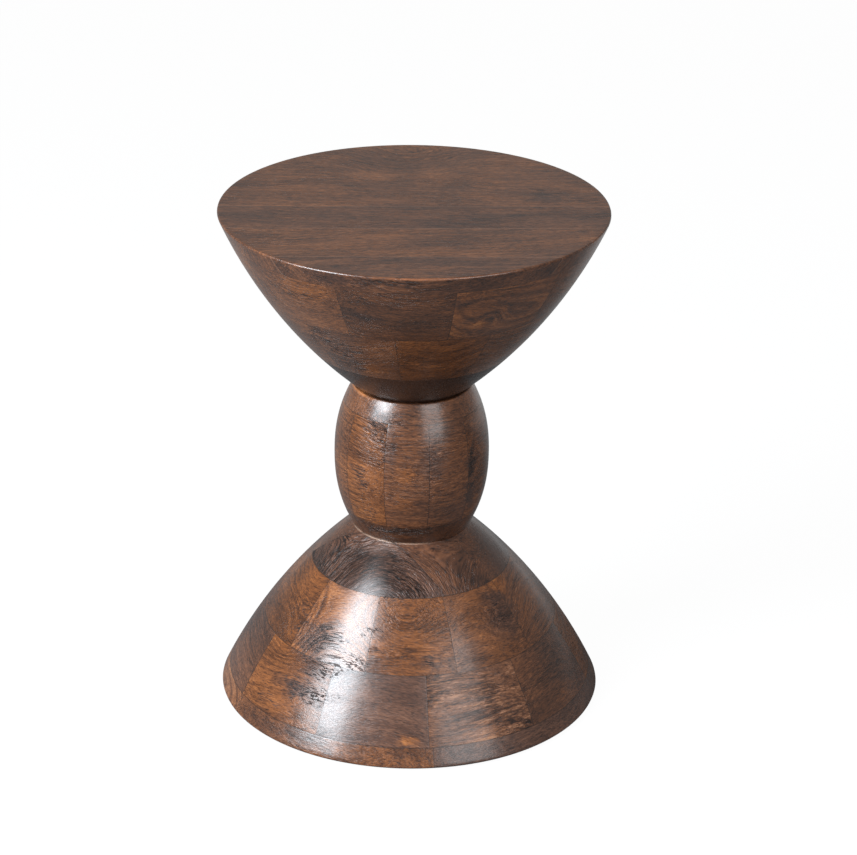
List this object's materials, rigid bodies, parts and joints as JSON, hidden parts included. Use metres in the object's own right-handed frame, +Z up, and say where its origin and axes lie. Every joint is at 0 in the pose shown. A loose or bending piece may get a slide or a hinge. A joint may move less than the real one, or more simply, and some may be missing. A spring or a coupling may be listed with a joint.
{
  "type": "side table",
  "caption": "Round hourglass side table of glued hardwood blocks: flat top on a turned bowl, barrel-shaped middle and flared base open beneath.",
  "frame": {"origin": "on the floor, on the turning axis of the table", "axes": "+Z up along the turning axis; the pictured front faces -Y and +X is to the right of the front"},
  "size_m": [0.3436, 0.3436, 0.46],
  "materials": {
    "stained_hardwood": "dark walnut stain under satin lacquer, open pores",
    "zinc_plated_steel": "bright zinc plate",
    "brown_felt": "pressed wool felt"
  },
  "bodies": {
    "root": {"barrel_bottom_disc": "stained_hardwood", "barrel_staves": "stained_hardwood", "barrel_top_disc": "stained_hardwood", "base_cap_board_1": "stained_hardwood", "base_cap_board_2": "stained_hardwood", "base_cap_board_3": "stained_hardwood", "base_lower_block_01": "stained_hardwood", "base_lower_block_02": "stained_hardwood", "base_lower_block_03": "stained_hardwood", "base_lower_block_04": "stained_hardwood", "base_lower_block_05": "stained_hardwood", "base_lower_block_06": "stained_hardwood", "base_lower_block_07": "stained_hardwood", "base_lower_block_08": "stained_hardwood", "base_lower_block_09": "stained_hardwood", "base_lower_block_10": "stained_hardwood", "base_upper_block_01": "stained_hardwood", "base_upper_block_02": "stained_hardwood", "base_upper_block_03": "stained_hardwood", "base_upper_block_04": "stained_hardwood", "base_upper_block_05": "stained_hardwood", "base_upper_block_06": "stained_hardwood", "base_upper_block_07": "stained_hardwood", "base_upper_block_08": "stained_hardwood", "base_upper_block_09": "stained_hardwood", "base_upper_block_10": "stained_hardwood", "bowl_lower_block_01": "stained_hardwood", "bowl_lower_block_02": "stained_hardwood", "bowl_lower_block_03": "stained_hardwood", "bowl_lower_block_04": "stained_hardwood", "bowl_lower_block_05": "stained_hardwood", "bowl_lower_block_06": "stained_hardwood", "bowl_lower_block_07": "stained_hardwood", "bowl_lower_block_08": "stained_hardwood", "bowl_lower_block_09": "stained_hardwood", "bowl_lower_block_10": "stained_hardwood", "bowl_neck_board_1": "stained_hardwood", "bowl_neck_board_2": "stained_hardwood", "bowl_upper_block_01": "stained_hardwood", "bowl_upper_block_02": "stained_hardwood", "bowl_upper_block_03": "stained_hardwood", "bowl_upper_block_04": "stained_hardwood", "bowl_upper_block_05": "stained_hardwood", "bowl_upper_block_06": "stained_hardwood", "bowl_upper_block_07": "stained_hardwood", "bowl_upper_block_08": "stained_hardwood", "bowl_upper_block_09": "stained_hardwood", "bowl_upper_block_10": "stained_hardwood", "felt_pads": "brown_felt", "foot_ring_segments": "stained_hardwood", "hex_nut": "zinc_plated_steel", "tee_nut": "zinc_plated_steel", "threaded_rod": "zinc_plated_steel", "top_board_1": "stained_hardwood", "top_board_2": "stained_hardwood", "top_board_3": "stained_hardwood", "top_board_4": "stained_hardwood", "washer": "zinc_plated_steel"}
  },
  "joints": []
}
